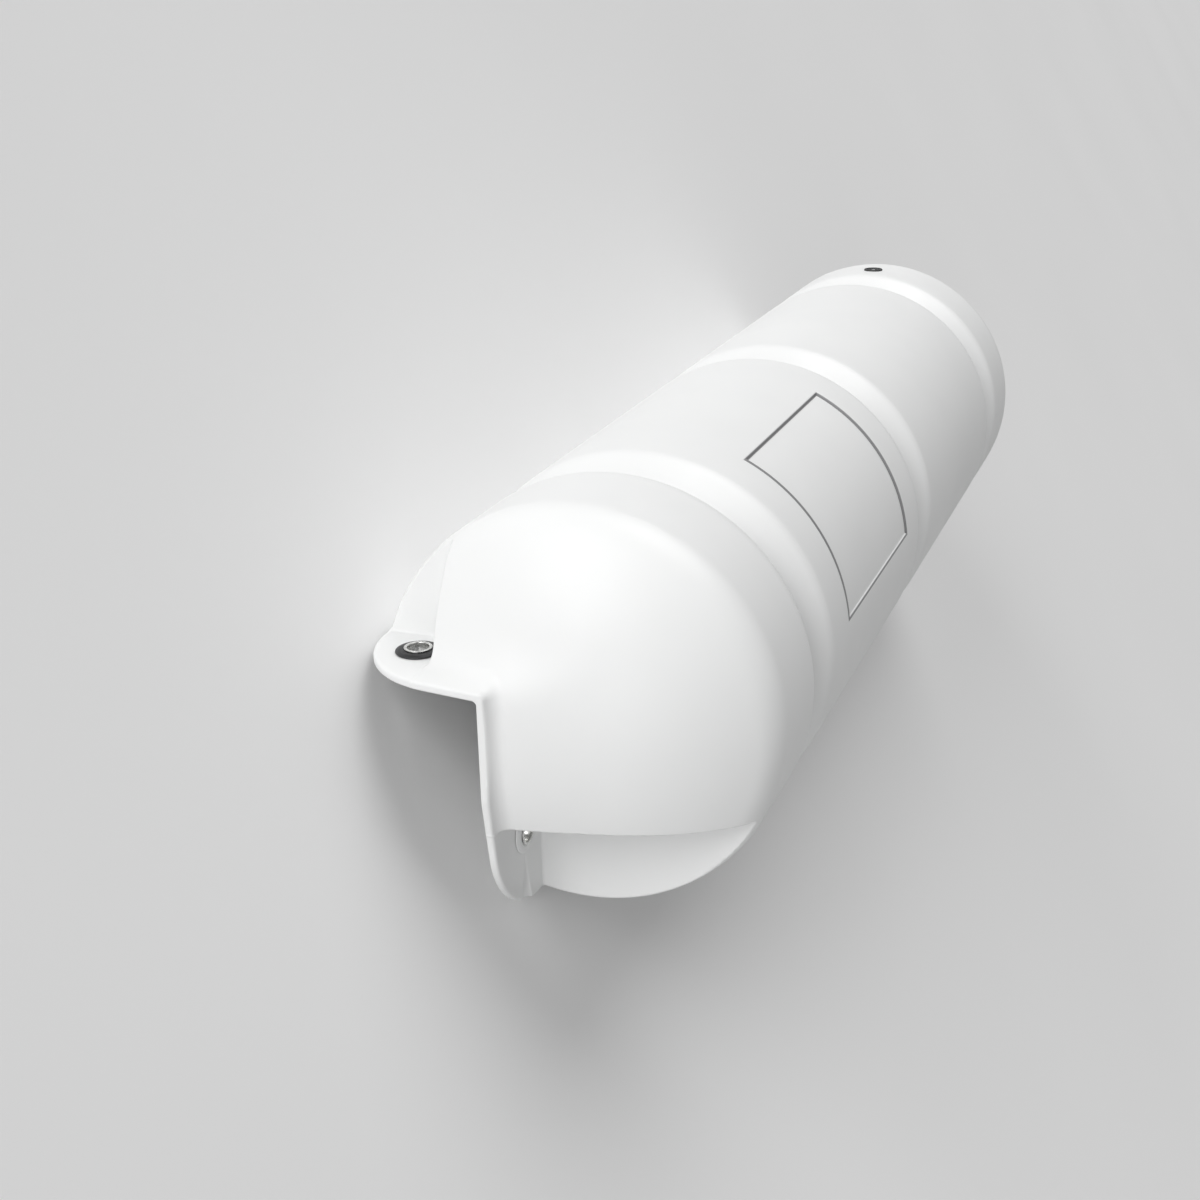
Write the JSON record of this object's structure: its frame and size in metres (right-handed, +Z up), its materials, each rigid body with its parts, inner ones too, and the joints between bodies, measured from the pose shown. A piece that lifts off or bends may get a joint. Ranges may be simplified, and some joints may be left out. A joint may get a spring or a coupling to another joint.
{
  "type": "dock fender",
  "caption": "Three-quarter-round inflatable dock fender with domed ends, ring grooves, a notch for the dock's edge and fixing tabs with eyelets at both ends.",
  "frame": {"origin": "the middle of the underside of the bounding box: the level floor on which the fender stands unheld, on the two long edges of its notch", "axes": "+Y along the barrel, from the end nearest the picture's viewer to the far end; +Z up from the floor; +X across. The notch opens downwards: the dock's up lies at 59.1 degrees from +Z towards -X, and the water side at 30.9 degrees from +Z towards +X"},
  "size_m": [0.25, 0.943, 0.2126],
  "materials": {
    "white_pvc": "satin soft PVC",
    "black_plastic": "satin moulded plastic",
    "steel": "bright pressed stainless steel"
  },
  "bodies": {
    "root": {"fender_body": "white_pvc", "eyelet_liner_upper_near": "steel", "eyelet_liner_lower_near": "steel", "eyelet_liner_upper_far": "steel", "eyelet_liner_lower_far": "steel", "eyelet_upper_near": "black_plastic", "eyelet_lower_near": "white_pvc", "eyelet_upper_far": "black_plastic", "eyelet_lower_far": "white_pvc", "filling_valve": "black_plastic"}
  },
  "joints": []
}
